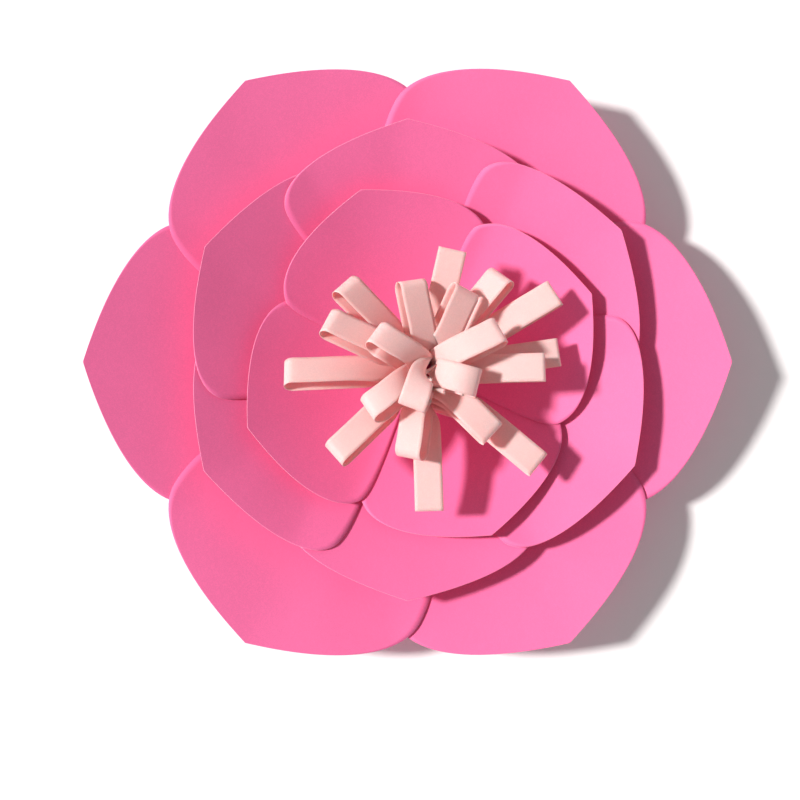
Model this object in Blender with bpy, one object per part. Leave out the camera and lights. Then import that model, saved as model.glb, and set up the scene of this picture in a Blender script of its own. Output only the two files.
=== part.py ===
# A giant wall flower of cut card, lying on its back: three rings of cupped petals on a
# round base, with a rolled strip of paper loops standing in the middle.
# Metres, +Z up out of the flower. The origin is the middle of the base's back face.

import math

import bmesh
import bpy
from mathutils import Matrix, Vector

# Card and paper
CARD = 0.0003             # thickness of the petal card
BASE_CARD = 0.0008        # thickness of the round base
LOOP_PAPER = 0.0003       # thickness of the looped strip's paper
SEAT_GAP = 0.0003         # clearance between a layer and what it is glued to
LAP_GAP = 0.0005          # clearance between two petals of one ring where they lap

# Round base
BASE_RADIUS = 0.060
BASE_SEGMENTS = 48

# How a petal stands
FLATNESS = 0.5            # 0 is a turned bowl, 1 is a flat petal
LAP_WINDOW = 0.24         # share of the spacing over which a petal climbs onto its neighbour
LAP_SOFTNESS = 0.0006     # height over which it begins to climb
EDGE_LIFT = 0.0015        # how far its free lapping edge springs up at the rim
EDGE_LIFT_FROM = 0.55     # share of the tip radius where that spring begins

# Petal outline, as shares of the shoulder's distance and of the half width
TIP_HANDLE = (0.265, 0.65)
SHOULDER_HANDLE = 0.366
BASE_HANDLE = 0.25

# Petal mesh
TIP_ROWS = 5
WAIST_ROWS = 5
COLUMNS = 8

# Outer ring of petals
OUTER_REACH = 0.199       # petal tips, from the ring's centre
OUTER_FOOT = 0.040        # inner end of a petal
OUTER_HALF_WIDTH = 0.088  # of a petal, at its shoulder
OUTER_FOOT_HALF_WIDTH = 0.026
OUTER_SHOULDER = 0.062    # from the tip back to where a petal is widest
OUTER_HEIGHT = 0.045      # petal tips, above the wall
OUTER_BEND = 0.056        # where the petals leave the flat and rise

# Middle ring of petals
MIDDLE_REACH = 0.147
MIDDLE_FOOT = 0.020
MIDDLE_HALF_WIDTH = 0.078
MIDDLE_FOOT_HALF_WIDTH = 0.014
MIDDLE_SHOULDER = 0.048
MIDDLE_HEIGHT = 0.050
MIDDLE_BEND = 0.045

# Inner ring of petals
INNER_REACH = 0.113
INNER_FOOT = 0.008
INNER_HALF_WIDTH = 0.0665
INNER_FOOT_HALF_WIDTH = 0.007
INNER_SHOULDER = 0.048
INNER_HEIGHT = 0.047
INNER_BEND = 0.030

# The rings from the wall outwards. Azimuths are in the order of gluing, each petal
# over the one before it, and the last over the first as well.
RINGS = (
    {
        "name": "outer_petal",
        "centre": (0.0, 0.0),
        "azimuths": (180.0, 120.0, 60.0, 0.0, 300.0, 240.0),
        "tip_radius": OUTER_REACH,
        "base_radius": OUTER_FOOT,
        "half_width": OUTER_HALF_WIDTH,
        "base_half_width": OUTER_FOOT_HALF_WIDTH,
        "shoulder": OUTER_SHOULDER,
        "waist_handle": 0.45,
        "tip_height": OUTER_HEIGHT,
        "flat_radius": OUTER_BEND,
        "power": 1.2,
    },
    {
        "name": "middle_petal",
        "centre": (0.0064, 0.0011),
        "azimuths": (267.5, 207.5, 152.0, 92.5, 32.5, 334.0),
        "tip_radius": MIDDLE_REACH,
        "base_radius": MIDDLE_FOOT,
        "half_width": MIDDLE_HALF_WIDTH,
        "base_half_width": MIDDLE_FOOT_HALF_WIDTH,
        "shoulder": MIDDLE_SHOULDER,
        "waist_handle": 0.2,
        "tip_height": MIDDLE_HEIGHT,
        "flat_radius": MIDDLE_BEND,
        "power": 1.15,
    },
    {
        "name": "inner_petal",
        "centre": (0.0083, -0.0017),
        "azimuths": (292.5, 200.0, 109.0, 22.5),
        "tip_radius": INNER_REACH,
        "base_radius": INNER_FOOT,
        "half_width": INNER_HALF_WIDTH,
        "base_half_width": INNER_FOOT_HALF_WIDTH,
        "shoulder": INNER_SHOULDER,
        "waist_handle": 0.2,
        "tip_height": INNER_HEIGHT,
        "flat_radius": INNER_BEND,
        "power": 1.2,
    },
)

# Rolled strip: folded along its middle, cut into loops and rolled up from its inner end
ROLL_CENTRE = (0.0108, -0.0058)
ROLL_OUTER_RADIUS = 0.0135
ROLL_INNER_RADIUS = 0.0060
ROLL_START = 24.0         # azimuth of the first loop's root, at the strip's outer end
BAND_HEIGHT = 0.014       # the uncut part of the strip, below the loops
LOOP_WIDTH = 0.017
CUT_WIDTH = 0.0004        # between two neighbouring loops
PLY_GAP = 0.0006          # middle of one ply to middle of the other, in the band
SWING_SHARE = 0.5         # share of a loop's length over which it swings to its heading
OUTER_UPRIGHT = 0.3       # share of its rise that a loop goes straight up before it leans out
INNER_UPRIGHT = 0.8
LEAN_OUT = 0.4            # share of its run over which a loop holds the slope at its fold
OPENING_POWER = 0.7       # how early the two plies part
LOOP_STATIONS = (0.12, 0.3, 0.6, 1.0)
FOLD_SEGMENTS = 4
LOOP_COLUMNS = 4

# The loops from the outer end of the strip to the inner: heading in degrees, reach and
# height of the fold in metres, slope at the fold in degrees, half opening in metres,
# and twist at the fold in degrees.
LOOPS = (
    (31.0, 0.0910, 0.060, 5, 0.0014, 0),
    (320.0, 0.0885, 0.060, 5, 0.0020, 0),
    (223.0, 0.0750, 0.063, 10, 0.0030, 0),
    (134.0, 0.0720, 0.062, 8, 0.0034, 0),
    (51.0, 0.0740, 0.060, 10, 0.0040, 30),
    (8.0, 0.0820, 0.052, 0, 0.0014, 0),
    (271.5, 0.0840, 0.064, 8, 0.0016, 0),
    (181.5, 0.0850, 0.060, 5, 0.0034, 0),
    (77.5, 0.0740, 0.066, 12, 0.0014, 0),
    (1.5, 0.0710, 0.068, 8, 0.0014, 0),
    (260.0, 0.0530, 0.070, 0, 0.0050, 0),
    (154.0, 0.0665, 0.068, 8, 0.0036, 0),
    (64.0, 0.0540, 0.070, 0, 0.0036, 0),
    (316.0, 0.0550, 0.070, 0, 0.0026, 0),
    (216.0, 0.0420, 0.074, -10, 0.0046, 0),
    (100.0, 0.0540, 0.072, 0, 0.0040, 0),
    (345.0, 0.0320, 0.076, -30, 0.0060, 0),
    (146.0, 0.0380, 0.076, -10, 0.0050, 0),
    (28.0, 0.0500, 0.076, 0, 0.0030, 0),
    (250.0, 0.0240, 0.080, -30, 0.0044, 0),
)

# Colours, roughness
PINK_CARD = ((0.86, 0.135, 0.36, 1.0), 0.62)
BACK_CARD = ((0.84, 0.13, 0.35, 1.0), 0.65)
PEACH_PAPER = ((0.93, 0.66, 0.60, 1.0), 0.66)


def clear_scene():
    for old in list(bpy.data.objects):
        bpy.data.objects.remove(old, do_unlink=True)


def make_material(name, finish):
    colour, roughness = finish
    material = bpy.data.materials.new(name)
    material.use_nodes = True
    shader = material.node_tree.nodes["Principled BSDF"]
    shader.inputs["Base Color"].default_value = colour
    shader.inputs["Roughness"].default_value = roughness
    shader.inputs["Metallic"].default_value = 0.0
    return material


def add_object(name, bm, material):
    mesh = bpy.data.meshes.new(name)
    bm.to_mesh(mesh)
    bm.free()
    mesh.materials.append(material)
    made = bpy.data.objects.new(name, mesh)
    bpy.context.scene.collection.objects.link(made)
    return made


def add_solidify(made, thickness, offset):
    wall = made.modifiers.new("thickness", "SOLIDIFY")
    wall.thickness = thickness
    wall.offset = offset
    wall.use_even_offset = True


def smoothstep(low, high, value):
    share = min(max((value - low) / (high - low), 0.0), 1.0)
    return share * share * (3.0 - 2.0 * share)


def bezier(points, share):
    rest = 1.0 - share
    weights = (rest**3, 3 * rest**2 * share, 3 * rest * share**2, share**3)
    return (
        sum(w * p[0] for w, p in zip(weights, points)),
        sum(w * p[1] for w, p in zip(weights, points)),
    )


def lap_step(slope):
    """Height from one petal to the next one lapped over it, on a given slope."""
    return (CARD + LAP_GAP) * math.sqrt(1.0 + slope * slope)


def ring_floor(index):
    """Height of a ring's lowest petal base: the base card and the rings under it."""
    floor = BASE_CARD + SEAT_GAP
    return floor + index * (lap_step(0.0) + CARD + SEAT_GAP)


def ring_rise(index, radius):
    """Height of a ring's bowl above its floor, and the bowl's slope, at a radius."""
    ring = RINGS[index]
    run = ring["tip_radius"] - ring["flat_radius"]
    rise = ring["tip_height"] - ring_floor(index)
    share = max(radius - ring["flat_radius"], 0.0) / run
    height = rise * share ** ring["power"]
    slope = rise / run * ring["power"] * share ** (ring["power"] - 1.0) if share else 0.0
    return height, slope


def turn_between(angle, azimuth):
    return (angle - azimuth + math.pi) % (2.0 * math.pi) - math.pi


def petal_fall(index, turn):
    """How the bowl falls away to both sides of a petal's middle line."""
    return math.cos(FLATNESS * turn) ** (RINGS[index]["power"] / FLATNESS)


def petal_height(index, number, x, y):
    """Height of a petal's lower face over a point given from its ring's centre."""
    ring = RINGS[index]
    azimuths = [math.radians(a) for a in ring["azimuths"]]
    last = len(azimuths) - 1
    radius = math.hypot(x, y)
    angle = math.atan2(y, x)
    rise, slope = ring_rise(index, radius)
    turn = turn_between(angle, azimuths[number])
    own = rise * petal_fall(index, turn)
    height = own
    under = []
    if number > 0:
        under.append((number - 1, 1.0))
    if number == last:
        under.append((0, -1.0))
    for other, side in under:
        spacing = abs(turn_between(azimuths[other], azimuths[number]))
        window = smoothstep(0.0, LAP_WINDOW * spacing, side * turn)
        beside = rise * petal_fall(index, turn_between(angle, azimuths[other]))
        need = beside + lap_step(slope) - own
        climb = 0.5 * (need + math.sqrt(need * need + LAP_SOFTNESS * LAP_SOFTNESS))
        spring = EDGE_LIFT * smoothstep(EDGE_LIFT_FROM, 1.0, radius / ring["tip_radius"])
        height += window * (climb + spring)
    return ring_floor(index) + height


def petal_outline(ring):
    """Half outline from the tip to the base: distance from the ring's centre, half width."""
    tip = ring["tip_radius"]
    wide = tip - ring["shoulder"]
    half = ring["half_width"]
    foot = ring["base_radius"]
    foot_half = ring["base_half_width"]
    outer = (
        (tip, 0.0),
        (tip - TIP_HANDLE[0] * ring["shoulder"], TIP_HANDLE[1] * half),
        (wide + SHOULDER_HANDLE * ring["shoulder"], half),
        (wide, half),
    )
    inner = (
        (wide, half),
        (wide - ring["waist_handle"] * (wide - foot), half),
        (foot + BASE_HANDLE * (wide - foot), foot_half + BASE_HANDLE * half),
        (foot, foot_half),
    )
    rows = [bezier(outer, i / TIP_ROWS) for i in range(TIP_ROWS)]
    rows += [bezier(inner, i / WAIST_ROWS) for i in range(WAIST_ROWS + 1)]
    return rows


def petal_rows(ring):
    """The outline as radii and half angles, with a row where the petal leaves its glued foot."""
    rows = [(math.hypot(*point), math.atan2(point[1], point[0])) for point in petal_outline(ring)]
    bend = ring["flat_radius"]
    for outer, inner in zip(rows, rows[1:]):
        if outer[0] > bend > inner[0]:
            share = (bend - inner[0]) / (outer[0] - inner[0])
            rows.append((bend, inner[1] + share * (outer[1] - inner[1])))
    return sorted(rows, reverse=True)


def make_petal(index, number, material):
    """A petal's card, as rows of points round the ring's centre, from the tip to the base."""
    ring = RINGS[index]
    azimuth = math.radians(ring["azimuths"][number])
    centre = ring["centre"]
    bm = bmesh.new()

    def vertex(radius, turn):
        x = radius * math.cos(azimuth + turn)
        y = radius * math.sin(azimuth + turn)
        return bm.verts.new((centre[0] + x, centre[1] + y, petal_height(index, number, x, y)))

    tip = vertex(ring["tip_radius"], 0.0)
    rows = []
    for radius, reach in petal_rows(ring)[1:]:
        rows.append([vertex(radius, reach * (2 * i / COLUMNS - 1)) for i in range(COLUMNS + 1)])
    for right, left in zip(rows[0], rows[0][1:]):
        bm.faces.new((tip, left, right))
    for outer, inner in zip(rows, rows[1:]):
        for i in range(COLUMNS):
            bm.faces.new((outer[i], outer[i + 1], inner[i + 1], inner[i]))
    petal = add_object(f"{ring['name']}_{number + 1}", bm, material)
    add_solidify(petal, CARD, 1.0)
    return petal


def make_base(material):
    bm = bmesh.new()
    bmesh.ops.create_cone(
        bm,
        cap_ends=True,
        segments=BASE_SEGMENTS,
        radius1=BASE_RADIUS,
        radius2=BASE_RADIUS,
        depth=BASE_CARD,
        matrix=Matrix.Translation((0.0, 0.0, BASE_CARD / 2)),
    )
    return add_object("base_disc", bm, material)


def roll_floor():
    return ring_floor(len(RINGS))


def strip_place(along):
    """Radius and azimuth on the rolled strip, at a distance along it from its outer end."""
    length = len(LOOPS) * (LOOP_WIDTH + CUT_WIDTH)
    shed = (ROLL_OUTER_RADIUS**2 - ROLL_INNER_RADIUS**2) / length
    radius = math.sqrt(ROLL_OUTER_RADIUS**2 - shed * along)
    azimuth = math.radians(ROLL_START) - 2.0 * (ROLL_OUTER_RADIUS - radius) / shed
    return radius, azimuth


def loop_walls(root_radius, reach, fold_height, slope, opening, upright):
    """A loop seen from its side, down one ply and back up the other.

    Gives the outer and the inner face of the paper, each point as distance from the
    roll's axis, height, and share of the loop's length."""
    top = roll_floor() + BAND_HEIGHT
    rise = fold_height - top
    run = reach - opening - root_radius
    tilt = math.radians(slope)
    end = Vector((reach - opening, fold_height))
    lean = end - LEAN_OUT * run * Vector((math.cos(tilt), math.sin(tilt)))
    line = ((root_radius, top), (root_radius, top + upright * rise), lean, end)

    def ply(share, side, face):
        along = Vector(bezier(line, share)) - Vector(bezier(line, share - 0.01))
        up = Vector((-along.y, along.x)).normalized()
        half = PLY_GAP / 2 + (opening - PLY_GAP / 2) * share**OPENING_POWER
        spot = Vector(bezier(line, share)) + side * (half + face * LOOP_PAPER / 2) * up
        return (spot.x, spot.y, share)

    def fold(angle, face):
        turn = angle + tilt
        spot = end + (opening + face * LOOP_PAPER / 2) * Vector((math.cos(turn), math.sin(turn)))
        return (spot.x, spot.y, 1.0)

    turns = [math.pi * (i / FOLD_SEGMENTS - 0.5) for i in range(1, FOLD_SEGMENTS)]
    walls = []
    for face in (1.0, -1.0):
        wall = [ply(share, -1.0, face) for share in LOOP_STATIONS]
        wall += [fold(angle, face) for angle in turns]
        wall += [ply(share, 1.0, face) for share in reversed(LOOP_STATIONS)]
        walls.append(wall)
    half_band = (PLY_GAP + LOOP_PAPER) / 2
    walls[0] = [(root_radius + half_band, top, 0.0)] + walls[0]
    walls[0].append((root_radius - half_band, top, 0.0))
    walls[1] = [(root_radius, top, 0.0)] + walls[1]
    return walls


def make_column(bm, number, across):
    """One lengthwise line of a loop: its two faces and the band under it, as vertices."""
    heading, reach, fold_height, slope, opening, twist = LOOPS[number]
    middle = (number + 0.5) * (LOOP_WIDTH + CUT_WIDTH)
    root_radius, root_azimuth = strip_place(middle)
    edge_radius, edge_azimuth = strip_place(middle + across)
    swing = turn_between(math.radians(heading), root_azimuth)
    place = number / (len(LOOPS) - 1)
    upright = OUTER_UPRIGHT + (INNER_UPRIGHT - OUTER_UPRIGHT) * place

    def vertex(distance, height, share):
        roll = math.radians(twist) * share * share
        far = distance + (edge_radius - root_radius) * (1.0 - share)
        azimuth = root_azimuth + swing * smoothstep(0.0, SWING_SHARE, share)
        azimuth -= across * math.cos(roll) / distance
        if share == 0.0:
            azimuth = edge_azimuth
        return bm.verts.new((
            ROLL_CENTRE[0] + far * math.cos(azimuth),
            ROLL_CENTRE[1] + far * math.sin(azimuth),
            height + across * math.sin(roll),
        ))

    outer, inner = loop_walls(root_radius, reach, fold_height, slope, opening, upright)
    outer = [vertex(*point) for point in outer]
    inner = [vertex(*point) for point in inner]
    inner.append(inner[0])
    half_band = (PLY_GAP + LOOP_PAPER) / 2
    low = [vertex(root_radius + side * half_band, roll_floor(), 0.0) for side in (1, -1)]
    return outer, inner, low


def join_band(bm, here, ahead):
    """The band's two faces and its lower edge, between two columns."""
    outer, _, low = here
    next_outer, _, next_low = ahead
    bm.faces.new((low[0], next_low[0], next_outer[0], outer[0]))
    bm.faces.new((low[1], outer[-1], next_outer[-1], next_low[1]))
    bm.faces.new((low[0], low[1], next_low[1], next_low[0]))


def make_loop_roll(material):
    """The whole strip in one piece: the band, and every loop standing on its upper edge."""
    bm = bmesh.new()
    previous = None
    for number in range(len(LOOPS)):
        offsets = [LOOP_WIDTH * (i / LOOP_COLUMNS - 0.5) for i in range(LOOP_COLUMNS + 1)]
        columns = [make_column(bm, number, across) for across in offsets]
        for here, ahead in zip(columns, columns[1:]):
            join_band(bm, here, ahead)
            for wall, order in ((0, 1), (1, -1)):
                pairs = zip(here[wall], here[wall][1:], ahead[wall], ahead[wall][1:])
                for a, b, c, d in pairs:
                    bm.faces.new((a, c, d, b)[::order])
        for column, order in ((columns[0], 1), (columns[-1], -1)):
            outer, inner, _ = column
            for a, b, c, d in zip(outer, outer[1:], inner, inner[1:]):
                bm.faces.new((a, b, d, c)[::order])
        if previous:
            join_band(bm, previous, columns[0])
            crotch, next_crotch = previous[1][0], columns[0][1][0]
            bm.faces.new((previous[0][0], columns[0][0][0], next_crotch, crotch))
            bm.faces.new((crotch, next_crotch, columns[0][0][-1], previous[0][-1]))
        else:
            outer, inner, low = columns[0]
            bm.faces.new((low[0], outer[0], inner[0], outer[-1], low[1]))
        previous = columns[-1]
    outer, inner, low = previous
    bm.faces.new((low[1], outer[-1], inner[0], outer[0], low[0]))
    bmesh.ops.recalc_face_normals(bm, faces=bm.faces)
    return add_object("loop_roll", bm, material)


def main():
    clear_scene()
    petal_card = make_material("pink_card", PINK_CARD)
    make_base(make_material("base_card", BACK_CARD))
    for index, ring in enumerate(RINGS):
        for number in range(len(ring["azimuths"])):
            make_petal(index, number, petal_card)
    make_loop_roll(make_material("peach_paper", PEACH_PAPER))


main()
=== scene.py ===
# %% [markdown]
# # A giant paper flower, from flat cut-outs to the finished bloom
#
# The flower is 400 mm across and hangs on a wall. It is nothing but card and paper: a round
# base, three rings of cupped petals that lap over each other, and in the middle a long strip
# of peach paper, folded, cut into loops and rolled up. Here it lies on its back on a white
# table, seen from straight above.
#
# The lesson starts from the CAD model, which already has every piece at its real size. Each
# petal and the rolled strip are made again from the same measures with smooth curves, and
# they take the places of the CAD pieces. Two geometry node trees do the shaping, one for a
# petal's cup and one for paper that follows a path. Then come the look of the paper, the
# light and the camera.

import math

import bpy
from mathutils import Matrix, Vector


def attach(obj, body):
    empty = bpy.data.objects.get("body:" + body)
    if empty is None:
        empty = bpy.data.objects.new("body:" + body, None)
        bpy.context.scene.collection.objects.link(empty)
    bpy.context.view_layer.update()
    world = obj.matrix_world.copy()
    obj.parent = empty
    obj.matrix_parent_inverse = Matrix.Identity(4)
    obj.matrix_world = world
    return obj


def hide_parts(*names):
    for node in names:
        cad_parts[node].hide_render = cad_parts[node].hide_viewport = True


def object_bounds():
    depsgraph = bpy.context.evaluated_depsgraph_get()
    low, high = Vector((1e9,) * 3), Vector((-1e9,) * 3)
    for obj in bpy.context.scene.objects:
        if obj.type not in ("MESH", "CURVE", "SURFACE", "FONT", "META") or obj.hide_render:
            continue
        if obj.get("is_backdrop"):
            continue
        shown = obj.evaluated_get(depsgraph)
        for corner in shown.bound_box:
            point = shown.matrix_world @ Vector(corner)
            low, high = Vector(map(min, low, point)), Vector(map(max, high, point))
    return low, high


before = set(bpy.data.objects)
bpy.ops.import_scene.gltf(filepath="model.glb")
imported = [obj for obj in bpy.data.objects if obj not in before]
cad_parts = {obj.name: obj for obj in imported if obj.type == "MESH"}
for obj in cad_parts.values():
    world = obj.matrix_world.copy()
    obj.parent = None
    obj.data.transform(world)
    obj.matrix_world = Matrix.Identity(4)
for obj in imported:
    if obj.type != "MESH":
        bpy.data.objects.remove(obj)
cad_low, cad_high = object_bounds()
cad_size = [1000 * (high - low) for low, high in zip(cad_low, cad_high)]
print("CAD nodes:", len(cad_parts))
print("CAD box in mm:", [round(side, 1) for side in cad_size])

# %% [markdown]
# ## Camera
#
# The photograph looks straight down on the flower, and its middle stands a little up and to
# the right of the picture's middle. The flower's rise of 80 mm makes its near parts look
# larger, and that fixes how far away the camera was: about 0.84 m.

# %% Place the camera above the table
SENSOR_WIDTH = 36.0
FOCAL_LENGTH = 58.6
CAMERA_PLACE = (-0.0046, -0.0234, 0.843)

camera = bpy.data.objects.new("camera", bpy.data.cameras.new("camera"))
camera.data.sensor_width = SENSOR_WIDTH
camera.data.lens = FOCAL_LENGTH
camera.data.clip_start = 0.01
camera.location = CAMERA_PLACE
bpy.context.scene.collection.objects.link(camera)
bpy.context.scene.camera = camera
field_of_view = 2 * math.degrees(math.atan(SENSOR_WIDTH / 2 / FOCAL_LENGTH))
print(f"camera {CAMERA_PLACE[2]} m above the table, {field_of_view:.1f} degrees wide")

# %% [markdown]
# ## The measures of the flower
#
# These are the CAD model's own measures, so that each smooth piece lies where its plain one
# does. A ring is told by its centre, the azimuths of its petals in the order of gluing, the
# petal's outline, and the bowl that the ring forms. Every petal lies over the one glued
# before it. The last one also lies over the first, which a maker gets by slipping its edge
# out from under.

# %% Write down the measures
CARD = 0.0003             # thickness of the petal card
BASE_CARD = 0.0008        # thickness of the round base
SEAT_GAP = 0.0003         # clearance to what a layer is glued to
LAP_GAP = 0.0005          # clearance between lapping petals
FLATNESS = 0.5            # 0 is a turned bowl, 1 is a flat petal
LAP_WINDOW = 0.24         # share of the spacing over which a petal climbs onto its neighbour
LAP_SOFTNESS = 0.0006     # height over which it begins to climb
EDGE_LIFT = 0.0015        # how far its free lapping edge springs up at the rim
EDGE_LIFT_FROM = 0.55     # share of the tip radius where that spring begins

# Handles of the outline's two curves, as shares of the shoulder's distance from the tip or
# the foot, and of the half width
TIP_HANDLE = (0.265, 0.65)
SHOULDER_HANDLE = 0.366
BASE_HANDLE = 0.25

RINGS = (
    {
        "name": "outer_petal",
        "centre": (0.0, 0.0),
        "azimuths": (180.0, 120.0, 60.0, 0.0, 300.0, 240.0),
        "tip_radius": 0.199,
        "base_radius": 0.040,
        "half_width": 0.088,
        "base_half_width": 0.026,
        "shoulder": 0.062,
        "waist_handle": 0.45,
        "tip_height": 0.045,
        "flat_radius": 0.056,
        "power": 1.2,
    },
    {
        "name": "middle_petal",
        "centre": (0.0064, 0.0011),
        "azimuths": (267.5, 207.5, 152.0, 92.5, 32.5, 334.0),
        "tip_radius": 0.147,
        "base_radius": 0.020,
        "half_width": 0.078,
        "base_half_width": 0.014,
        "shoulder": 0.048,
        "waist_handle": 0.2,
        "tip_height": 0.050,
        "flat_radius": 0.045,
        "power": 1.15,
    },
    {
        "name": "inner_petal",
        "centre": (0.0083, -0.0017),
        "azimuths": (292.5, 200.0, 109.0, 22.5),
        "tip_radius": 0.113,
        "base_radius": 0.008,
        "half_width": 0.0665,
        "base_half_width": 0.007,
        "shoulder": 0.048,
        "waist_handle": 0.2,
        "tip_height": 0.047,
        "flat_radius": 0.030,
        "power": 1.2,
    },
)


def lap_step(slope):
    """Height from one petal to the next one lapped over it, on a given slope."""
    return (CARD + LAP_GAP) * (1.0 + slope * slope) ** 0.5


def ring_floor(index):
    """Height of a ring's lowest petal base: the base card and the rings under it."""
    return BASE_CARD + SEAT_GAP + index * (lap_step(0.0) + CARD + SEAT_GAP)


for index, ring in enumerate(RINGS):
    count, across = len(ring["azimuths"]), 2000 * ring["half_width"]
    foot = 1000 * ring_floor(index)
    print(f"{ring['name']}: {count} petals, {across:.0f} mm wide, foot at {foot:.1f} mm")

# %% [markdown]
# ## Sums in a node tree
#
# A geometry node tree works its sums out with one node for each plus or times. Written out
# node by node, a formula can't be read any more. This small class lets a tree's numbers be
# written as a formula in Python, and each sign in it adds the right node.


# %% Let node values be added and multiplied
def connect(tree, value, slot):
    """Gives a node's input a link if the value comes from the tree, and a number if not."""
    if isinstance(value, Field):
        tree.links.new(value.socket, slot)
    else:
        slot.default_value = value


class Field:
    """A number that a node tree works out."""

    def __init__(self, tree, socket):
        self.tree = tree
        self.socket = socket

    def made(self, operation, *others):
        """What a math node makes of this number and the others."""
        node = self.tree.nodes.new("ShaderNodeMath")
        node.operation = operation
        for slot, value in zip(node.inputs, (self, *others)):
            connect(self.tree, value, slot)
        return Field(self.tree, node.outputs[0])

    def __add__(self, other):
        return self.made("ADD", other)

    def __sub__(self, other):
        return self.made("SUBTRACT", other)

    def __mul__(self, other):
        return self.made("MULTIPLY", other)

    def __truediv__(self, other):
        return self.made("DIVIDE", other)

    def __pow__(self, other):
        return self.made("POWER", other)

    def __radd__(self, other):
        return self + other

    def __rmul__(self, other):
        return self * other


def smoothstep(value, low, high):
    """0 below low, 1 above high, and a soft S between."""
    tree = value.tree
    node = tree.nodes.new("ShaderNodeMapRange")
    node.interpolation_type = "SMOOTHSTEP"
    for name, given in (("Value", value), ("From Min", low), ("From Max", high)):
        connect(tree, given, node.inputs[name])
    return Field(tree, node.outputs["Result"])


def new_node(tree, kind, settings=(), **inputs):
    """A node with its settings and inputs. An underscore in an input's name is a space."""
    node = tree.nodes.new(kind)
    for name, value in dict(settings).items():
        setattr(node, name, value)
    for name, value in inputs.items():
        slot = next(s for s in node.inputs if s.enabled and s.name == name.replace("_", " "))
        if isinstance(value, bpy.types.NodeSocket):
            tree.links.new(value, slot)
        else:
            connect(tree, value, slot)
    return node


def new_tree(name, kind, inputs, outputs):
    """A node group with named inputs and outputs, and the two nodes that carry them."""
    tree = bpy.data.node_groups.new(name, kind)
    for title, socket, value in inputs:
        made = tree.interface.new_socket(title, in_out="INPUT", socket_type=socket)
        if value is not None:
            made.default_value = value
    for title, socket in outputs:
        tree.interface.new_socket(title, in_out="OUTPUT", socket_type=socket)
    return tree, tree.nodes.new("NodeGroupInput"), tree.nodes.new("NodeGroupOutput")


print("sums in node trees are ready")

# %% [markdown]
# ## What paper looks like
#
# Card has a dull face with a faint cloudiness, fine fibres that lie every way, and a slight
# tooth that a raking light picks out. Its cut edge is painted paler, a painted highlight where
# the edge catches the light. One shader group gives the colour, roughness and height of any
# such paper, and each paper's own material sets the colour, the painted highlight colour of
# its edge, the strength of the fibres and the sheen.
#
# The pink card is dyed through and matt. The peach paper is thinner and lets some light
# through, which is why its shaded folds glow coral from the petals round them.

# %% Make the shared fibre group
FIBRE_SIZE = 0.0016       # length of the fibres that can be seen
TOOTH_SIZE = 0.0004       # grain of the surface
CLOUD_SIZE = 0.030        # width of the faint cloudy patches
FIBRE_CURL = 2.5
FIBRE_BAND = (0.42, 0.62)  # noise values between which a fibre fades in
NOISE_MIDDLE = 0.5        # about this value, noise changes nothing on average
CLOUD_SHARE = 0.6         # how much the clouds change the colour, next to the fibres
TOOTH_ROUGHNESS = 0.10    # how much the grain changes the roughness
CLOUD_ROUGHNESS = 0.08    # how much the clouds change it
TOOTH_RELIEF = 0.65       # share of the relief that is grain; fibres are the rest

fibre_group, given, result = new_tree(
    "paper_fibre",
    "ShaderNodeTree",
    (
        ("Vector", "NodeSocketVector", None),
        ("Colour", "NodeSocketColor", (0.8, 0.8, 0.8, 1.0)),
        ("Edge Highlight Colour", "NodeSocketColor", (0.9, 0.9, 0.9, 1.0)),
        ("Edge", "NodeSocketFloat", 0.0),
        ("Fibre Strength", "NodeSocketFloat", 0.1),
        ("Base Roughness", "NodeSocketFloat", 0.6),
    ),
    (
        ("Colour", "NodeSocketColor"),
        ("Roughness", "NodeSocketFloat"),
        ("Height", "NodeSocketFloat"),
    ),
)


def paper_noise(size, detail, distortion):
    """Noise whose patches have a given size in metres."""
    node = new_node(
        fibre_group,
        "ShaderNodeTexNoise",
        Vector=given.outputs["Vector"],
        Scale=1.0 / size,
        Detail=detail,
        Distortion=distortion,
    )
    return Field(fibre_group, node.outputs["Fac"])


clouds = paper_noise(CLOUD_SIZE, 2.0, 0.0)
fibres = paper_noise(FIBRE_SIZE, 3.0, FIBRE_CURL)
tooth = paper_noise(TOOTH_SIZE, 2.0, 0.0)
strength = Field(fibre_group, given.outputs["Fibre Strength"])
thread = smoothstep(fibres, *FIBRE_BAND)
cloudy = strength * CLOUD_SHARE * (clouds - NOISE_MIDDLE)
bright = 1.0 + strength * (thread - NOISE_MIDDLE) + cloudy
tinted = new_node(
    fibre_group,
    "ShaderNodeMix",
    {"data_type": "RGBA", "blend_type": "MULTIPLY"},
    Factor=1.0,
    A=given.outputs["Colour"],
    B=bright,
)
# The cut edge's faces get a lighter colour: a painted highlight where the edge catches the light.
edged = new_node(
    fibre_group,
    "ShaderNodeMix",
    {"data_type": "RGBA"},
    Factor=given.outputs["Edge"],
    A=next(s for s in tinted.outputs if s.enabled),
    B=given.outputs["Edge Highlight Colour"],
)
fibre_group.links.new(next(s for s in edged.outputs if s.enabled), result.inputs["Colour"])
rough = Field(fibre_group, given.outputs["Base Roughness"])
rough = rough + TOOTH_ROUGHNESS * (tooth - NOISE_MIDDLE)
rough = rough + CLOUD_ROUGHNESS * (clouds - NOISE_MIDDLE)
connect(fibre_group, rough, result.inputs["Roughness"])
relief = TOOTH_RELIEF * tooth + (1.0 - TOOTH_RELIEF) * thread
connect(fibre_group, relief, result.inputs["Height"])
print("paper_fibre:", len(fibre_group.nodes), "nodes")


# %% [markdown]
# ## Three papers from one group
#
# Each paper is a material that uses the group and sets its own numbers. The colours could
# be mixed in each material from scratch, but then a change to the fibres would have to be
# made three times. The pink card gets a little sheen for its dry, brushed face. The peach
# paper gets some subsurface light, mostly red, because light that goes through it comes out
# warmer.

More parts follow.
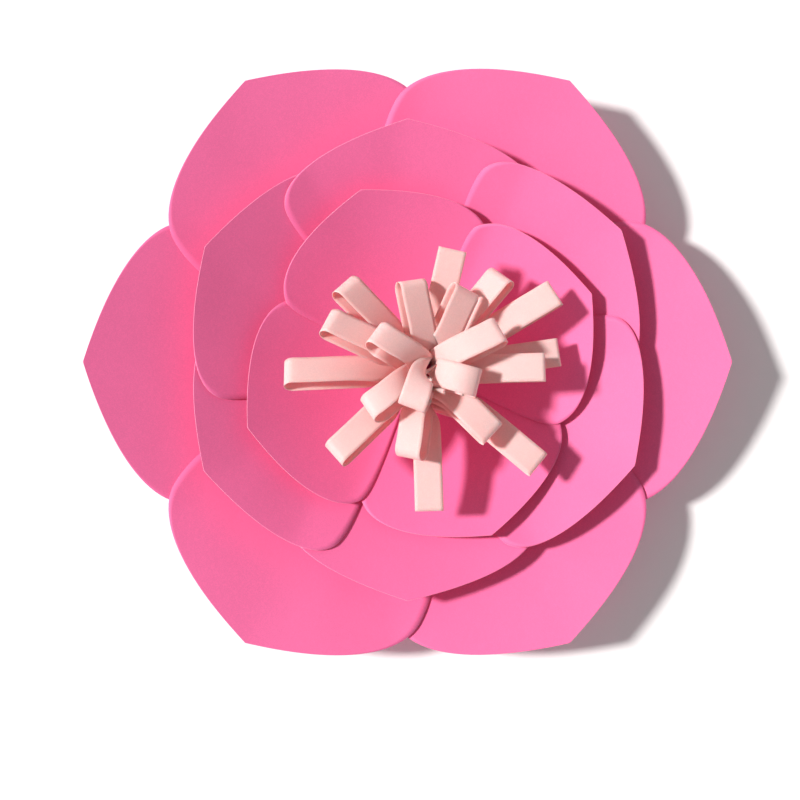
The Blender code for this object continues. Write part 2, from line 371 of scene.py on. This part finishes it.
# %% Make the two papers and the base's card
EDGE_ATTRIBUTE = "cut_edge"  # 1 on the faces of a cut edge, 0 elsewhere
RELIEF_STRENGTH = 0.5
SPECULAR_LEVEL = 0.35        # card reflects a little less than Blender's usual 0.5
SHEEN = (0.08, 0.6, (1.0, 0.55, 0.75, 1.0))     # weight, roughness, tint
GLOW = (0.4, 0.002, (1.0, 0.10, 0.08))          # weight, scale in metres, colour radii


def paper_material(name, colour, edge_highlight_colour, fibre_strength, roughness, tooth_height):
    """A paper as a material, and its shader for what only that paper has."""
    material = bpy.data.materials.new(name)
    material.use_nodes = True
    tree = material.node_tree
    shader = tree.nodes["Principled BSDF"]
    place = tree.nodes.new("ShaderNodeTexCoord")
    edge = new_node(tree, "ShaderNodeAttribute", {"attribute_name": EDGE_ATTRIBUTE})
    paper = tree.nodes.new("ShaderNodeGroup")
    paper.node_tree = fibre_group
    tree.links.new(place.outputs["Object"], paper.inputs["Vector"])
    tree.links.new(edge.outputs["Fac"], paper.inputs["Edge"])
    paper.inputs["Colour"].default_value = (*colour, 1.0)
    paper.inputs["Edge Highlight Colour"].default_value = (*edge_highlight_colour, 1.0)
    paper.inputs["Fibre Strength"].default_value = fibre_strength
    paper.inputs["Base Roughness"].default_value = roughness
    bump = new_node(tree, "ShaderNodeBump", Strength=RELIEF_STRENGTH, Distance=tooth_height)
    tree.links.new(paper.outputs["Height"], bump.inputs["Height"])
    tree.links.new(paper.outputs["Colour"], shader.inputs["Base Color"])
    tree.links.new(paper.outputs["Roughness"], shader.inputs["Roughness"])
    tree.links.new(bump.outputs["Normal"], shader.inputs["Normal"])
    shader.inputs["Specular IOR Level"].default_value = SPECULAR_LEVEL
    return material, shader


# Each paper's edge colour is lighter than its face, a painted highlight on its cut edges.
pink_card, pink_shader = paper_material(
    "pink_card_look",
    colour=(0.93, 0.165, 0.39),
    edge_highlight_colour=(0.97, 0.55, 0.70),
    fibre_strength=0.08,
    roughness=0.62,
    tooth_height=0.00006,
)
for name, value in zip(("Weight", "Roughness", "Tint"), SHEEN):
    pink_shader.inputs["Sheen " + name].default_value = value

peach_paper, peach_shader = paper_material(
    "peach_paper_look",
    colour=(0.97, 0.57, 0.55),
    edge_highlight_colour=(0.97, 0.64, 0.61),
    fibre_strength=0.06,
    roughness=0.68,
    tooth_height=0.00005,
)
for name, value in zip(("Weight", "Scale", "Radius"), GLOW):
    peach_shader.inputs["Subsurface " + name].default_value = value

base_card, _ = paper_material(
    "base_card_look",
    colour=(0.90, 0.165, 0.37),
    edge_highlight_colour=(0.95, 0.52, 0.66),
    fibre_strength=0.14,
    roughness=0.66,
    tooth_height=0.00008,
)
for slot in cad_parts["base_disc"].material_slots:
    slot.material = base_card
print("papers:", pink_card.name, peach_paper.name, base_card.name)

# %% [markdown]
# ## Giving a sheet its thickness
#
# A sheet of card is easiest to shape while it is a single skin. Only at the end does it get
# its 0.3 mm, so that both faces and the cut edge follow the same shape. The skin is pushed
# out along its normals, which makes the second face and the edges, and the first face is
# turned round to close the solid. The edge faces are marked, for the paler colour painted on
# a cut edge as a painted highlight. A Solidify modifier would thicken the sheet too, but only
# after the tree. Done inside it, the same step that makes the edge also marks its faces.

# %% Write what ends every tree and makes its piece
WELD_DISTANCE = 1e-6
PATH_ATTRIBUTES = ("spine", "across", "turn", "side")  # the ribbon tree's, see below


def add_thickness(tree, sheet, thickness, material):
    """Closes a skin into a sheet of card and ends the tree with its material."""
    raised = new_node(
        tree,
        "GeometryNodeExtrudeMesh",
        Mesh=sheet,
        Offset_Scale=thickness,
        Individual=False,
    )
    marked = new_node(
        tree,
        "GeometryNodeStoreNamedAttribute",
        {"data_type": "FLOAT", "domain": "FACE"},
        Geometry=raised.outputs["Mesh"],
        Name=EDGE_ATTRIBUTE,
        Value=raised.outputs["Side"],
    )
    turned = new_node(tree, "GeometryNodeFlipFaces", Mesh=sheet)
    both = tree.nodes.new("GeometryNodeJoinGeometry")
    for part in (turned.outputs["Mesh"], marked.outputs["Geometry"]):
        tree.links.new(part, both.inputs["Geometry"])
    closed = new_node(
        tree, "GeometryNodeMergeByDistance", Geometry=both.outputs[0], Distance=WELD_DISTANCE
    )
    edge = new_node(
        tree, "GeometryNodeInputNamedAttribute", {"data_type": "FLOAT"}, Name=EDGE_ATTRIBUTE
    )
    face = Field(tree, next(s for s in edge.outputs if s.enabled)).made("LESS_THAN", 0.5)
    smooth = new_node(
        tree, "GeometryNodeSetShadeSmooth", Geometry=closed.outputs[0], Shade_Smooth=face
    )
    whole = new_node(tree, "GeometryNodeRealizeInstances", Geometry=smooth.outputs[0])
    return new_node(
        tree, "GeometryNodeSetMaterial", Geometry=whole.outputs[0], Material=material
    ).outputs[0]


def set_inputs(modifier, values):
    """Sets a geometry node modifier's inputs by their names."""
    for item in modifier.node_group.interface.items_tree:
        if item.item_type == "SOCKET" and item.in_out == "INPUT" and item.name in values:
            modifier[item.identifier] = values[item.name]


def shaped(name, mesh, tree, values):
    """The piece that a tree makes of a mesh, as a plain mesh with nothing live on it."""
    rough_piece = bpy.data.objects.new(name + "_rough", mesh)
    bpy.context.scene.collection.objects.link(rough_piece)
    modifier = rough_piece.modifiers.new("shape", "NODES")
    modifier.node_group = tree
    set_inputs(modifier, values)
    graph = bpy.context.evaluated_depsgraph_get()
    made = bpy.data.meshes.new_from_object(rough_piece.evaluated_get(graph), depsgraph=graph)
    bpy.data.objects.remove(rough_piece, do_unlink=True)
    made.name = name
    for extra in PATH_ATTRIBUTES:
        if extra in made.attributes:
            made.attributes.remove(made.attributes[extra])
    piece = bpy.data.objects.new(name, made)
    bpy.context.scene.collection.objects.link(piece)
    return piece


print("a skin can now be given thickness")

# %% [markdown]
# ## Petals: the flat cut-out
#
# A maker cuts each petal flat from a sheet of card round a template: a broad leaf with a
# blunt point, narrow where it is glued down. The outline is two smooth curves, from the tip
# round the shoulder and from there to the foot. The cut-out is laid on a net of fine rows,
# each of which keeps one distance from the ring's centre, so that neighbouring petals bend
# alike where they lap.

# %% Draw the cut-outs
PETAL_ROWS = (26, 34)     # from the tip to the shoulder, and on to the foot
PETAL_COLUMNS = 40
TIP_CROWDING = 1.3        # above 1, the rows crowd towards the tip's tight bend


def bezier(points, share):
    """A point of a cubic curve in a plane, from its four handles."""
    rest = 1.0 - share
    weights = (rest**3, 3 * rest**2 * share, 3 * rest * share**2, share**3)
    return tuple(sum(w * p[i] for w, p in zip(weights, points)) for i in (0, 1))


def petal_outline(ring):
    """Half outline from the tip to the base: distance from the ring's centre, half width."""
    tip, half = ring["tip_radius"], ring["half_width"]
    wide = tip - ring["shoulder"]
    foot, foot_half = ring["base_radius"], ring["base_half_width"]
    outer = (
        (tip, 0.0),
        (tip - TIP_HANDLE[0] * ring["shoulder"], TIP_HANDLE[1] * half),
        (wide + SHOULDER_HANDLE * ring["shoulder"], half),
        (wide, half),
    )
    inner = (
        (wide, half),
        (wide - ring["waist_handle"] * (wide - foot), half),
        (foot + BASE_HANDLE * (wide - foot), foot_half + BASE_HANDLE * half),
        (foot, foot_half),
    )
    tip_rows, waist_rows = PETAL_ROWS
    points = [bezier(outer, (i / tip_rows) ** TIP_CROWDING) for i in range(tip_rows)]
    return points + [bezier(inner, i / waist_rows) for i in range(waist_rows + 1)]


def cut_out(name, ring, azimuth):
    """A flat petal round the origin, as a net of rows from its tip to its foot."""
    rows = [(math.hypot(*point), math.atan2(point[1], point[0])) for point in petal_outline(ring)]
    rows = sorted(rows, reverse=True)
    points = [(rows[0][0] * math.cos(azimuth), rows[0][0] * math.sin(azimuth), 0.0)]
    for radius, reach in rows[1:]:
        for i in range(PETAL_COLUMNS + 1):
            angle = azimuth + reach * (2 * i / PETAL_COLUMNS - 1)
            points.append((radius * math.cos(angle), radius * math.sin(angle), 0.0))
    width = PETAL_COLUMNS + 1
    faces = [(0, i + 2, i + 1) for i in range(PETAL_COLUMNS)]
    for row in range(len(rows) - 2):
        start = 1 + row * width
        for i in range(start, start + PETAL_COLUMNS):
            faces.append((i, i + 1, i + 1 + width, i + width))
    mesh = bpy.data.meshes.new(name)
    mesh.from_pydata(points, [], faces)
    return mesh


triangles = PETAL_COLUMNS * (sum(PETAL_ROWS) - 1) * 2
print("one cut-out has about", triangles, "triangles before it is thick")

# %% [markdown]
# ## Petals: the cup
#
# A real petal gets its cup from a short slit and a dart at its foot, and from being drawn
# over a rounded edge. All the petals of a ring then follow one bowl, which is flat where
# they are glued and climbs more and more steeply towards the rim. Away from its middle
# line a petal falls a little below that bowl, as bent card does.
#
# Where a petal meets the one before it, it climbs over it and stays one card's thickness
# above, and its free edge springs up a little more. The tree below is that rule, with the
# ring's measures and the neighbours' azimuths as its inputs. A very slight unevenness is
# added, the same for all petals so that they keep clear of each other.

# %% Make the petal tree
UNEVENNESS = 0.0009       # how far a card strays from its ideal bowl
UNEVEN_SIZE = 0.045       # width of its dents
UNEVEN_BAND = (0.25, 0.8)  # share of the climb between which the dents fade in
LEAST_SHARE = 1e-9        # keeps the power sound on the flat foot, where the climb is 0

petal_inputs = ["Azimuth", "Before", "Climb Before", "After", "Climb After", "Floor", "Rise"]
petal_inputs += ["Flat Radius", "Tip Radius", "Power", "Thickness"]
petal_tree, given, result = new_tree(
    "petal_cup",
    "GeometryNodeTree",
    [("Cut-Out", "NodeSocketGeometry", None)]
    + [(name, "NodeSocketFloat", 0.0) for name in petal_inputs]
    + [("Centre", "NodeSocketVector", None), ("Material", "NodeSocketMaterial", None)],
    [("Petal", "NodeSocketGeometry")],
)
ask = {name: Field(petal_tree, given.outputs[name]) for name in petal_inputs}
position = petal_tree.nodes.new("GeometryNodeInputPosition")
axes = new_node(petal_tree, "ShaderNodeSeparateXYZ", Vector=position.outputs[0])
x, y = Field(petal_tree, axes.outputs["X"]), Field(petal_tree, axes.outputs["Y"])
radius = (x * x + y * y).made("SQRT")
angle = y.made("ARCTAN2", x)


def turn_from(azimuth, place=angle):
    """Signed angle from an azimuth to a place, within half a turn."""
    return (place - azimuth).made("WRAP", math.pi, -math.pi)


def fall(turn):
    """How the bowl falls away to both sides of a petal's middle line."""
    return (turn * FLATNESS).made("COSINE") ** (ask["Power"] / FLATNESS)


run = ask["Tip Radius"] - ask["Flat Radius"]
share = (radius - ask["Flat Radius"]).made("MAXIMUM", LEAST_SHARE) / run
rise = ask["Rise"] * share ** ask["Power"]
slope = ask["Rise"] / run * ask["Power"] * share ** (ask["Power"] - 1.0)
turn = turn_from(ask["Azimuth"])
own = rise * fall(turn)
spring = EDGE_LIFT * smoothstep(radius / ask["Tip Radius"], EDGE_LIFT_FROM, 1.0)


def climb_onto(neighbour, side):
    """How far the petal is lifted where it lies over a neighbour on one side."""
    spacing = turn_from(neighbour, ask["Azimuth"]).made("ABSOLUTE")
    window = smoothstep(turn * side, 0.0, LAP_WINDOW * spacing)
    beside = rise * fall(turn_from(neighbour))
    need = beside + lap_step(slope) - own
    climb = 0.5 * (need + (need * need + LAP_SOFTNESS**2).made("SQRT"))
    return window * (climb + spring)


height = ask["Floor"] + own
height = height + ask["Climb Before"] * climb_onto(ask["Before"], 1.0)
height = height + ask["Climb After"] * climb_onto(ask["After"], -1.0)
dents = new_node(
    petal_tree,
    "ShaderNodeTexNoise",
    {"noise_dimensions": "3D"},
    Vector=position.outputs[0],
    Scale=1.0 / UNEVEN_SIZE,
    Detail=1.0,
)
dent = (Field(petal_tree, dents.outputs["Fac"]) - NOISE_MIDDLE) * UNEVENNESS
height = height + dent * smoothstep(share, *UNEVEN_BAND)
spot = petal_tree.nodes.new("ShaderNodeCombineXYZ")
for name, value in (("X", x), ("Y", y), ("Z", height)):
    connect(petal_tree, value, spot.inputs[name])
cupped = new_node(
    petal_tree,
    "GeometryNodeSetPosition",
    Geometry=given.outputs["Cut-Out"],
    Position=spot.outputs[0],
    Offset=given.outputs["Centre"],
)
petal_tree.links.new(
    add_thickness(
        petal_tree, cupped.outputs[0], given.outputs["Thickness"], given.outputs["Material"]
    ),
    result.inputs["Petal"],
)
print("petal_cup:", len(petal_tree.nodes), "nodes")

# %% [markdown]
# ## Petals: sixteen from one tree
#
# On the real flower the petals of a ring are cut from one template and glued down one after
# another. The loop below does the same: a fresh cut-out at each azimuth, the tree with that
# ring's measures, and its thickness. Turned copies of one petal would be quicker, but the
# first and the last of a ring lap differently from the rest, so each is made on its own.

# %% Cup all sixteen petals
for index, ring in enumerate(RINGS):
    azimuths = [math.radians(a) for a in ring["azimuths"]]
    last = len(azimuths) - 1
    for number, azimuth in enumerate(azimuths):
        node = f"{ring['name']}_{number + 1}"
        petal = shaped(
            "card_" + node,
            cut_out(node + "_flat", ring, azimuth),
            petal_tree,
            {
                "Azimuth": azimuth,
                "Before": azimuths[number - 1],
                "Climb Before": 1.0 if number > 0 else 0.0,
                "After": azimuths[0],
                "Climb After": 1.0 if number == last else 0.0,
                "Floor": ring_floor(index),
                "Rise": ring["tip_height"] - ring_floor(index),
                "Flat Radius": ring["flat_radius"],
                "Tip Radius": ring["tip_radius"],
                "Power": ring["power"],
                "Thickness": CARD,
                "Centre": (*ring["centre"], 0.0),
                "Material": pink_card,
            },
        )
        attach(petal, "root")
        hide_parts(node)
    top = max(corner[2] for corner in petal.bound_box)
    print(f"{ring['name']}: {last + 1} petals, rim {1000 * top:.1f} mm above the wall")

# %% [markdown]
# ## The middle: paper that follows a path
#
# The middle is one strip of thin peach paper. The maker folds it along its middle, cuts
# across it every 17 mm from the fold almost to the two free edges, and rolls it up round a
# rod. The uncut edges become a tight band, and the loops are bent outwards one by one. The
# outer ones lean low over the petals, and the inner ones stand up and arch over them. Some
# folds are pressed sharp and some stay round and open.
#
# So each loop is a path: up out of the band, out to its fold, round it and back. The table
# gives each loop's heading, the reach and height of its fold, the slope there, half the
# opening between its two plies, and its twist. Headings, reaches and heights are the CAD
# model's. Openings and twists go a little beyond its plain loops, as the photograph shows
# them: the loops on the left show their round openings, and those on the right turn their
# faces to the light.

# %% Write down the loops
LOOP_PAPER = 0.0003       # thickness of the strip's paper
ROLL_CENTRE = (0.0108, -0.0058)
ROLL_OUTER_RADIUS = 0.0135
ROLL_INNER_RADIUS = 0.0060
ROLL_START = 24.0         # azimuth of the first loop's root, at the strip's outer end
BAND_HEIGHT = 0.014       # the uncut part of the strip, below the loops
LOOP_WIDTH = 0.017
CUT_WIDTH = 0.0004        # between two neighbouring loops
PLY_GAP = 0.0006          # middle of one ply to middle of the other, in the band
SWING_SHARE = 0.5         # share of a loop's length over which it swings to its heading
OUTER_UPRIGHT = 0.3       # share of its rise that a loop goes straight up before it leans out
INNER_UPRIGHT = 0.8
LEAN_OUT = 0.4            # share of its run over which a loop holds the slope at its fold
OPENING_POWER = 0.7       # how early the two plies part
ROLL_SHARE = 0.7          # share of a loop's length over which it takes its twist
FLAT_FROM = 0.16          # share of a loop's length after which it is flat across
LEAN_IN = 0.0055          # how far the innermost loops first lean in over the roll's hole
ARCH = 0.0045             # how far the upper ply of the innermost loops bulges
OUTER_ARCH = 0.4          # share of that bulge on the outermost loops
PLY_STEPS = 26
PLY_CROWDING = 1.4        # above 1, a path's points crowd towards its root
FOLD_STEPS = 14
BAND_STEP = 0.001         # between two points of the band's path
SLOPE_STEP = 0.01         # share of a loop's length over which its slope is measured
LOOP_COLUMNS = 8          # across a loop's width

LOOPS = (
    (31.0, 0.0910, 0.060, 5, 0.0022, 12),
    (320.0, 0.0885, 0.060, 5, 0.0028, 10),
    (223.0, 0.0750, 0.063, 10, 0.0045, -22),
    (134.0, 0.0720, 0.062, 8, 0.0055, -28),
    (51.0, 0.0740, 0.060, 10, 0.0042, 30),
    (8.0, 0.0820, 0.052, 0, 0.0020, 6),
    (271.5, 0.0840, 0.064, 8, 0.0022, -4),
    (181.5, 0.0850, 0.060, 5, 0.0052, -28),
    (77.5, 0.0740, 0.066, 12, 0.0020, 0),
    (1.5, 0.0710, 0.068, 8, 0.0020, 6),
    (260.0, 0.0530, 0.070, 0, 0.0055, -30),
    (154.0, 0.0665, 0.068, 8, 0.0052, -28),
    (64.0, 0.0540, 0.070, 0, 0.0048, -25),
    (316.0, 0.0550, 0.070, 0, 0.0034, 14),
    (216.0, 0.0420, 0.074, -10, 0.0060, -28),
    (100.0, 0.0540, 0.072, 0, 0.0050, -22),
    (345.0, 0.0320, 0.076, -30, 0.0055, 6),
    (146.0, 0.0380, 0.076, -10, 0.0062, -28),
    (28.0, 0.0500, 0.076, 0, 0.0040, 20),
    (250.0, 0.0240, 0.080, -30, 0.0055, -10),
)
STRIP_LENGTH = len(LOOPS) * (LOOP_WIDTH + CUT_WIDTH)
ROLL_FLOOR = ring_floor(len(RINGS))
ROLL_TOP = ROLL_FLOOR + BAND_HEIGHT
print(f"{len(LOOPS)} loops on a strip {1000 * STRIP_LENGTH:.0f} mm long")

# %% [markdown]
# ## The middle: the paths themselves
#
# Each path starts where its loop grows out of the rolled band, so the band comes first: a
# spiral that loses a little radius with each millimetre of strip. A loop could also be bent
# by hand along a curve object, twenty times over. Worked out from the table, all of them
# keep their roots in the right order on the strip, and one number moves a whole loop.
# Neighbouring loops still pass through each other where real paper would be squeezed.


# %% Lay out the paths
def strip_place(along):
    """Radius and azimuth on the rolled strip, at a distance along it from its outer end."""
    shed = (ROLL_OUTER_RADIUS**2 - ROLL_INNER_RADIUS**2) / STRIP_LENGTH
    radius = math.sqrt(ROLL_OUTER_RADIUS**2 - shed * along)
    return radius, math.radians(ROLL_START) - 2.0 * (ROLL_OUTER_RADIUS - radius) / shed


def ease(low, high, value):
    """The soft S of smoothstep, for plain numbers."""
    share = min(max((value - low) / (high - low), 0.0), 1.0)
    return share * share * (3.0 - 2.0 * share)


def loop_profile(root_radius, reach, fold_height, slope, opening, place):
    """A loop seen from its side: distance from the axis, height, share of its length, and
    how far the point lies above the loop's own middle line."""
    upright = OUTER_UPRIGHT + (INNER_UPRIGHT - OUTER_UPRIGHT) * place
    tilt = math.radians(slope)
    end = Vector((reach - opening, fold_height))
    lean = end - LEAN_OUT * (end.x - root_radius) * Vector((math.cos(tilt), math.sin(tilt)))
    rise = fold_height - ROLL_TOP
    knee = (root_radius - LEAN_IN * place**2, ROLL_TOP + upright * rise)
    line = ((root_radius, ROLL_TOP), knee, lean, end)

    def ply(share, side):
        """A point on the lower ply (side -1) or the upper one (side 1)."""
        along = Vector(bezier(line, share)) - Vector(bezier(line, share - SLOPE_STEP))
        up = Vector((-along.y, along.x)).normalized()
        half = PLY_GAP / 2 + (opening - PLY_GAP / 2) * share**OPENING_POWER
        if side > 0:
            bulge = OUTER_ARCH + (1.0 - OUTER_ARCH) * place
            half += ARCH * bulge * math.sin(math.pi * share) ** 2
        return (*(Vector(bezier(line, share)) + side * half * up), share, side * half)

    def bend(turn):
        """A point on the round of the fold."""
        spot = end + opening * Vector((math.cos(turn + tilt), math.sin(turn + tilt)))
        return (*spot, 1.0, opening * math.sin(turn))

    shares = [(i / PLY_STEPS) ** PLY_CROWDING for i in range(PLY_STEPS + 1)]
    fold = [bend(math.pi * (i / FOLD_STEPS - 0.5)) for i in range(1, FOLD_STEPS)]
    return [ply(s, -1.0) for s in shares] + fold + [ply(s, 1.0) for s in reversed(shares)]


def loop_path(number):
    """One loop's path in space. Each point also has what makes the paper's width there: an
    angle round the roll's axis while it is bent, and a straight line once it is flat."""
    heading, reach, fold_height, slope, opening, twist = LOOPS[number]
    root_radius, root_azimuth = strip_place((number + 0.5) * (LOOP_WIDTH + CUT_WIDTH))
    swing = (math.radians(heading) - root_azimuth + math.pi) % (2 * math.pi) - math.pi
    place = number / (len(LOOPS) - 1)
    profile = loop_profile(root_radius, reach, fold_height, slope, opening, place)
    path = []
    for distance, height, share, above in profile:
        roll = math.radians(twist) * ease(0.0, ROLL_SHARE, share)
        azimuth = root_azimuth + swing * ease(0.0, SWING_SHARE, share)
        azimuth += above * math.sin(roll) / distance
        spot = (distance * math.cos(azimuth), distance * math.sin(azimuth), height)
        flat = ease(0.0, FLAT_FROM, share)
        turn = LOOP_WIDTH / 2 * (1.0 - flat) / distance
        wide = LOOP_WIDTH / 2 * flat * math.cos(roll)
        lift = LOOP_WIDTH / 2 * math.sin(roll)
        side = (wide * math.sin(azimuth), -wide * math.cos(azimuth), lift)
        path.append((spot, turn, side))
    return path


def band_path(side):
    """One ply of the rolled band: a spiral, with the paper's width standing upright."""
    path = []
    middle = ROLL_FLOOR + BAND_HEIGHT / 2
    steps = int(STRIP_LENGTH / BAND_STEP)
    for i in range(steps + 1):
        radius, azimuth = strip_place(STRIP_LENGTH * i / steps)
        radius += side * PLY_GAP / 2
        spot = (radius * math.cos(azimuth), radius * math.sin(azimuth), middle)
        path.append((spot, 0.0, (0.0, 0.0, BAND_HEIGHT / 2)))
    return path


paths = [loop_path(number) for number in range(len(LOOPS))]
paths += [band_path(1.0), band_path(-1.0)]
points = [point for path in paths for point in path]
edges, start = [], 0
for path in paths:
    edges += [(i, i + 1) for i in range(start, start + len(path) - 1)]
    start += len(path)
path_mesh = bpy.data.meshes.new("loop_paths")
path_mesh.from_pydata([point[0] for point in points], edges, [])
turns = path_mesh.attributes.new("turn", "FLOAT", "POINT")
turns.data.foreach_set("value", [turn for _, turn, _ in points])
sides = path_mesh.attributes.new("side", "FLOAT_VECTOR", "POINT")
sides.data.foreach_set("vector", [number for _, _, side in points for number in side])
print(len(paths), "paths with", len(points), "points")

# %% [markdown]
# ## The middle: from paths to paper
#
# The tree draws a line across every point of a path, as wide as the paper, which gives a
# ribbon. At its root a loop is bent round the roll's axis, and so is its line. That bend
# soon fades out, as it does in a real loop, and from there the line is straight. The same
# tree makes the band, whose line stands upright. A curve with a flat bevel would be shorter
# to set up, but it can't be bent at one end and flat at the other.

# %% Make the ribbon tree
ribbon_tree, given, result = new_tree(
    "paper_ribbon",
    "GeometryNodeTree",
    [
        ("Paths", "NodeSocketGeometry", None),
        ("Columns", "NodeSocketInt", LOOP_COLUMNS),
        ("Thickness", "NodeSocketFloat", 0.0),
        ("Centre", "NodeSocketVector", None),
        ("Material", "NodeSocketMaterial", None),
    ],
    [("Paper", "NodeSocketGeometry")],
)


def stored(geometry, name, kind, value):
    """The geometry with a value kept on each of its points."""
    return new_node(
        ribbon_tree,
        "GeometryNodeStoreNamedAttribute",
        {"data_type": kind, "domain": "POINT"},
        Geometry=geometry,
        Name=name,
        Value=value,
    ).outputs[0]


def attribute(name, kind):
    """A value that was kept on the points."""
    node = new_node(
        ribbon_tree, "GeometryNodeInputNamedAttribute", {"data_type": kind}, Name=name
    )
    return next(s for s in node.outputs if s.enabled)


here = ribbon_tree.nodes.new("GeometryNodeInputPosition").outputs[0]
curves = new_node(ribbon_tree, "GeometryNodeMeshToCurve", Mesh=given.outputs["Paths"])
curves = stored(curves.outputs[0], "spine", "FLOAT_VECTOR", here)
line = new_node(ribbon_tree, "GeometryNodeCurvePrimitiveLine", Start=(-1, 0, 0), End=(1, 0, 0))
count = Field(ribbon_tree, given.outputs["Columns"]) + 1.0
line = new_node(ribbon_tree, "GeometryNodeResampleCurve", Curve=line.outputs[0], Count=count)
line_x = new_node(ribbon_tree, "ShaderNodeSeparateXYZ", Vector=here).outputs["X"]
line = stored(line.outputs[0], "across", "FLOAT", line_x)
skin = new_node(ribbon_tree, "GeometryNodeCurveToMesh", Curve=curves, Profile_Curve=line)
across = Field(ribbon_tree, attribute("across", "FLOAT"))
bent = new_node(
    ribbon_tree,
    "ShaderNodeVectorRotate",
    {"rotation_type": "Z_AXIS"},
    Vector=attribute("spine", "FLOAT_VECTOR"),
    Angle=across * -1.0 * Field(ribbon_tree, attribute("turn", "FLOAT")),
)
sideways = new_node(
    ribbon_tree,
    "ShaderNodeVectorMath",
    {"operation": "SCALE"},
    Vector=attribute("side", "FLOAT_VECTOR"),
    Scale=across,
)
wide = new_node(
    ribbon_tree,
    "GeometryNodeSetPosition",
    Geometry=skin.outputs[0],
    Position=bent.outputs[0],
    Offset=sideways.outputs[0],
)
half_back = new_node(
    ribbon_tree,
    "ShaderNodeVectorMath",
    {"operation": "SCALE"},
    Vector=ribbon_tree.nodes.new("GeometryNodeInputNormal").outputs[0],
    Scale=Field(ribbon_tree, given.outputs["Thickness"]) * -0.5,
)
centred = new_node(
    ribbon_tree, "GeometryNodeSetPosition", Geometry=wide.outputs[0], Offset=half_back.outputs[0]
)
placed = new_node(
    ribbon_tree,
    "GeometryNodeSetPosition",
    Geometry=centred.outputs[0],
    Offset=given.outputs["Centre"],
)
ribbon_tree.links.new(
    add_thickness(
        ribbon_tree, placed.outputs[0], given.outputs["Thickness"], given.outputs["Material"]
    ),
    result.inputs["Paper"],
)
print("paper_ribbon:", len(ribbon_tree.nodes), "nodes")

# %% Make the rolled strip
loop_roll = shaped(
    "paper_loop_roll",
    path_mesh,
    ribbon_tree,
    {
        "Columns": LOOP_COLUMNS,
        "Thickness": LOOP_PAPER,
        "Centre": (*ROLL_CENTRE, 0.0),
        "Material": peach_paper,
    },
)
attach(loop_roll, "root")
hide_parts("loop_roll")
print("rolled strip:", len(loop_roll.data.polygons), "faces")

# %% [markdown]
# ## Table and light
#
# The photograph was taken on white, with one clear light from the left, a little above the
# flower's middle and about 44 degrees high. Its shadows have soft edges and are warm from
# the pink round them. A sun nearly 7 degrees wide gives that, as evenly at the table's far
# end as on the flower. A pale world fills in the rest, white at the horizon so that the
# table runs out into it, and darker overhead so that the shadows stay clear.

# %% Set the table and the light
TABLE_SIZE = 6.0
TABLE_COLOUR = (0.98, 0.98, 0.98, 1.0)
TABLE_ROUGHNESS = 0.9
LIGHT_AZIMUTH = 169.0     # degrees
LIGHT_ELEVATION = 44.0
LIGHT_WIDTH = 6.9         # the wider it is, the softer its shadows' edges
LIGHT_STRENGTH = 3.96
LIGHT_COLOUR = (1.0, 0.97, 0.95)
FILL_COLOUR = (1.0, 0.99, 0.99, 1.0)
FILL_STRENGTH = 0.28
HORIZON_STRENGTH = 1.02   # the studio's far walls are brighter than its ceiling
HORIZON_BAND = (0.10, 0.30)  # sines of the elevations between which it fades

side = TABLE_SIZE / 2
table_mesh = bpy.data.meshes.new("table")
table_mesh.from_pydata(
    [(-side, -side, 0.0), (side, -side, 0.0), (side, side, 0.0), (-side, side, 0.0)],
    [],
    [(0, 1, 2, 3)],
)
table = bpy.data.objects.new("table", table_mesh)
table_look = bpy.data.materials.new("table_look")
table_look.use_nodes = True
table_shader = table_look.node_tree.nodes["Principled BSDF"]
table_shader.inputs["Base Color"].default_value = TABLE_COLOUR
table_shader.inputs["Roughness"].default_value = TABLE_ROUGHNESS
table_mesh.materials.append(table_look)
bpy.context.scene.collection.objects.link(table)
table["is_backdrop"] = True

light = bpy.data.objects.new("key_light", bpy.data.lights.new("key_light", "SUN"))
light.data.angle = math.radians(LIGHT_WIDTH)
light.data.energy = LIGHT_STRENGTH
light.data.color = LIGHT_COLOUR
azimuth, elevation = math.radians(LIGHT_AZIMUTH), math.radians(LIGHT_ELEVATION)
away = Vector((
    math.cos(elevation) * math.cos(azimuth),
    math.cos(elevation) * math.sin(azimuth),
    math.sin(elevation),
))
light.rotation_euler = away.to_track_quat("Z", "Y").to_euler()
bpy.context.scene.collection.objects.link(light)

world = bpy.data.worlds.new("soft_fill")
world.use_nodes = True
background = world.node_tree.nodes["Background"]
background.inputs["Color"].default_value = FILL_COLOUR
direction = world.node_tree.nodes.new("ShaderNodeTexCoord").outputs["Generated"]
upward = new_node(world.node_tree, "ShaderNodeSeparateXYZ", Vector=direction).outputs["Z"]
above = smoothstep(Field(world.node_tree, upward), *HORIZON_BAND)
connect(
    world.node_tree,
    HORIZON_STRENGTH + above * (FILL_STRENGTH - HORIZON_STRENGTH),
    background.inputs["Strength"],
)
bpy.context.scene.world = world
bpy.context.scene.view_settings.view_transform = "Standard"
print(f"light from azimuth {LIGHT_AZIMUTH:.0f} degrees, {LIGHT_ELEVATION:.0f} degrees high")

# %% [markdown]
# ## The size of the finished flower
#
# The dressed flower fills the CAD model's box and stands a little proud of it: the opened
# loops rise about 3 mm above it. The dressed flower has to fill the CAD model's box, and
# may stand only a little proud of it. Both boxes are printed, the CAD model's at the start
# and the finished one here.

# %% Measure the finished box
low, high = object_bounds()
size = [1000 * (b - a) for a, b in zip(low, high)]
print("finished box in mm:", [round(side, 1) for side in size])
